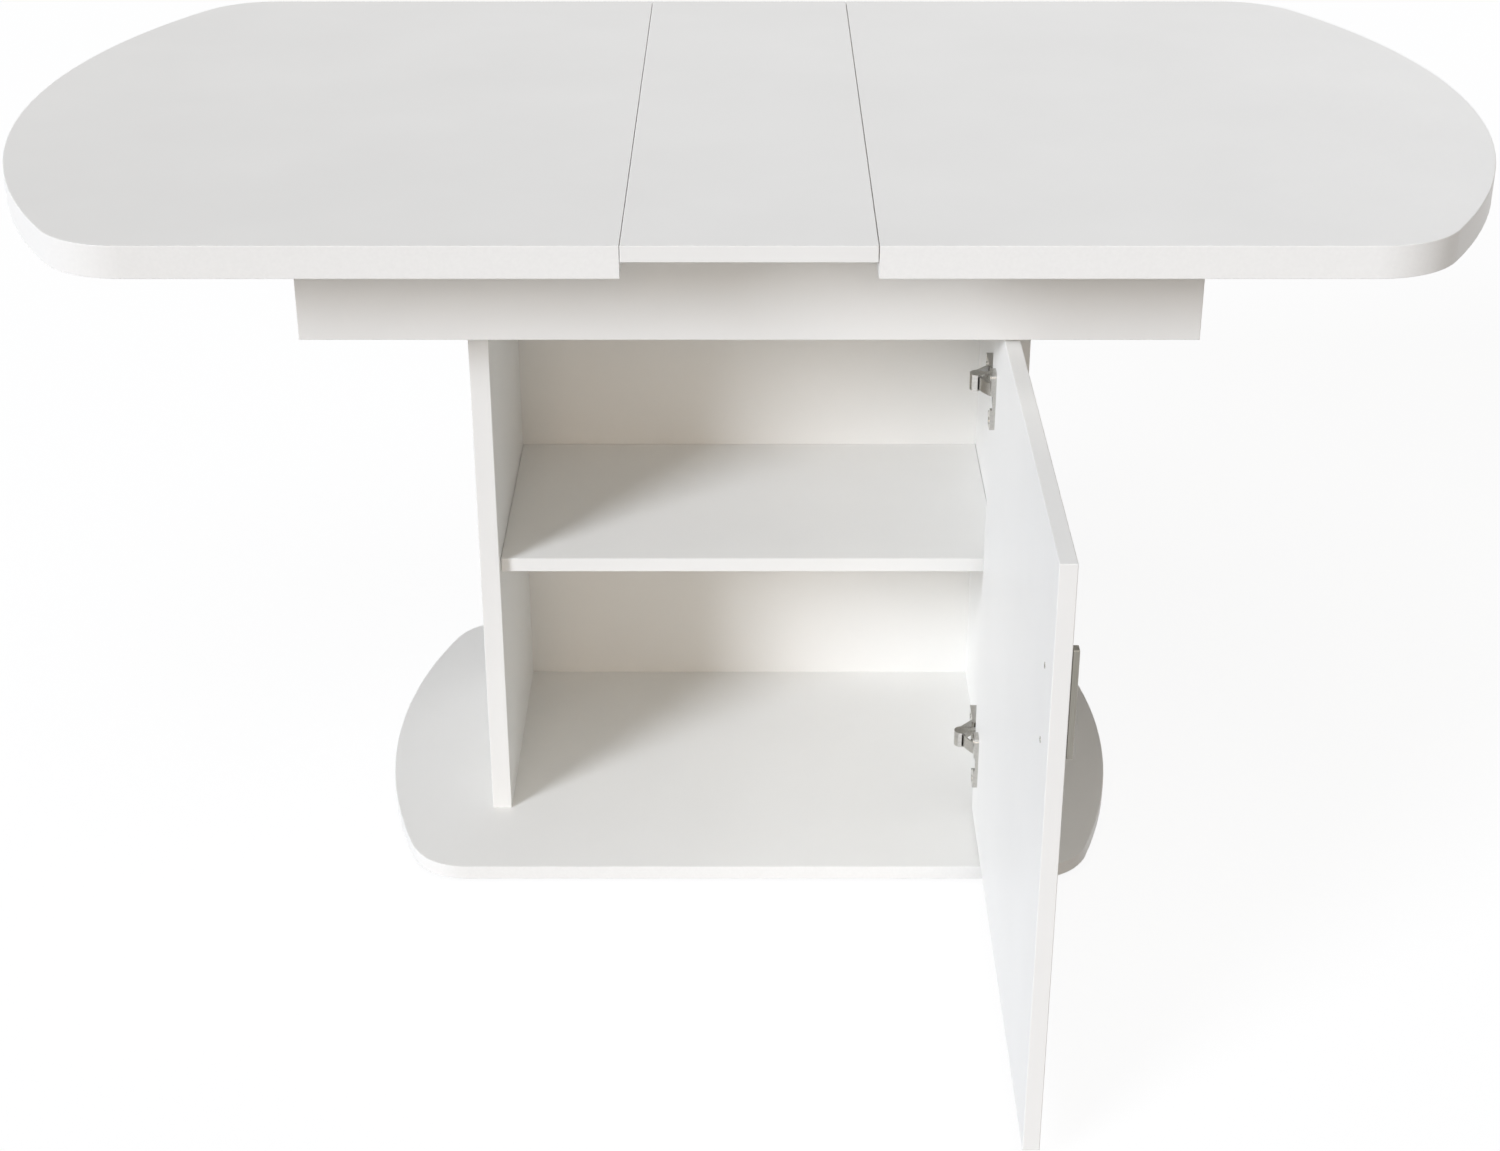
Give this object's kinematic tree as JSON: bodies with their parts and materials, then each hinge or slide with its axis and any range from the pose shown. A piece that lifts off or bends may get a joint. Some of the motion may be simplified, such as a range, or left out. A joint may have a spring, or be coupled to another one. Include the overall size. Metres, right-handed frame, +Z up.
{
  "type": "kitchen table with storage cabinet",
  "caption": "Extending kitchen table with bowed ends and a drop-in leaf, on a cabinet pedestal with a shelf and a hinged door, standing on a bowed base plate.",
  "frame": {"origin": "on the floor under the middle of the base plate, at the face of the middle glide", "axes": "+Z up, +X along the table's length, +Y from the cabinet's open front towards its back"},
  "size_m": [1.4398, 1.1166, 0.75],
  "materials": {
    "white_board": "satin white melamine on particle board",
    "white_edging": "satin white edge banding",
    "nickel": "nickel plated",
    "satin_handle": "satin",
    "zinc_screws": "bright zinc plated",
    "beech": "planed beech, clear sealed",
    "glide_plastic": "moulded"
  },
  "bodies": {
    "carcass": {"base_plate": "white_board", "base_edging": "white_edging", "base_glides": "glide_plastic", "base_screws": "zinc_screws", "left_side_panel": "white_board", "right_side_panel": "white_board", "back_panel": "white_board", "shelf": "white_board", "shelf_pins": "nickel", "deck_panel": "white_board", "deck_screws": "zinc_screws", "front_rail": "white_board", "back_rail": "white_board", "left_end_rail": "white_board", "right_end_rail": "white_board", "corner_blocks": "beech", "front_guide_strip": "beech", "back_guide_strip": "beech", "upper_hinge_plate": "nickel", "lower_hinge_plate": "nickel", "upper_hinge_arm": "nickel", "lower_hinge_arm": "nickel", "arm_pivot_pins": "nickel", "hinge_plate_screws": "nickel", "hinge_arm_screws": "nickel"},
    "left_top": {"left_top_board": "white_board", "left_top_rim": "white_board", "left_top_edging": "white_edging", "left_front_runner": "beech", "left_back_runner": "beech", "left_stop_blocks": "beech", "left_runner_screws": "zinc_screws"},
    "right_top": {"right_top_board": "white_board", "right_top_rim": "white_board", "right_top_edging": "white_edging", "right_front_runner": "beech", "right_back_runner": "beech", "right_stop_blocks": "beech", "right_runner_screws": "zinc_screws"},
    "leaf": {"leaf_board": "white_board", "leaf_left_cleat": "beech", "leaf_right_cleat": "beech", "leaf_cleat_screws": "zinc_screws"},
    "hinge_links": {"upper_hinge_link": "nickel", "lower_hinge_link": "nickel"},
    "door": {"door_panel": "white_board", "door_handle": "satin_handle", "handle_screws": "nickel", "upper_hinge_cup": "nickel", "lower_hinge_cup": "nickel", "cup_pivot_pins": "nickel", "hinge_cup_screws": "nickel"}
  },
  "joints": [
    {"name": "left_slide", "type": "slide", "parent": "carcass", "child": "left_top", "axis": [-1, 0, 0], "range_m": [0, 0.03]},
    {"name": "right_slide", "type": "slide", "parent": "carcass", "child": "right_top", "axis": [1, 0, 0], "range_m": [0, 0.03]},
    {"name": "leaf_lift", "type": "slide", "parent": "carcass", "child": "leaf", "axis": [0, 0, 1], "range_m": [0, 0.25]},
    {"name": "hinge_link", "type": "hinge", "parent": "carcass", "child": "hinge_links", "pos_m": [0.225, -0.145, 0.309], "axis": [0, 0, 1], "range_deg": [-1.66, 29.66]},
    {"name": "door_hinge", "type": "hinge", "parent": "hinge_links", "child": "door", "pos_m": [0.2444, -0.1756, 0.309], "axis": [0, 0, 1], "range_deg": [-119.65, 6.65]}
  ],
  "couplings": [
    {"joint": "hinge_link", "follows": "door_hinge", "ratio": -0.24778}
  ]
}
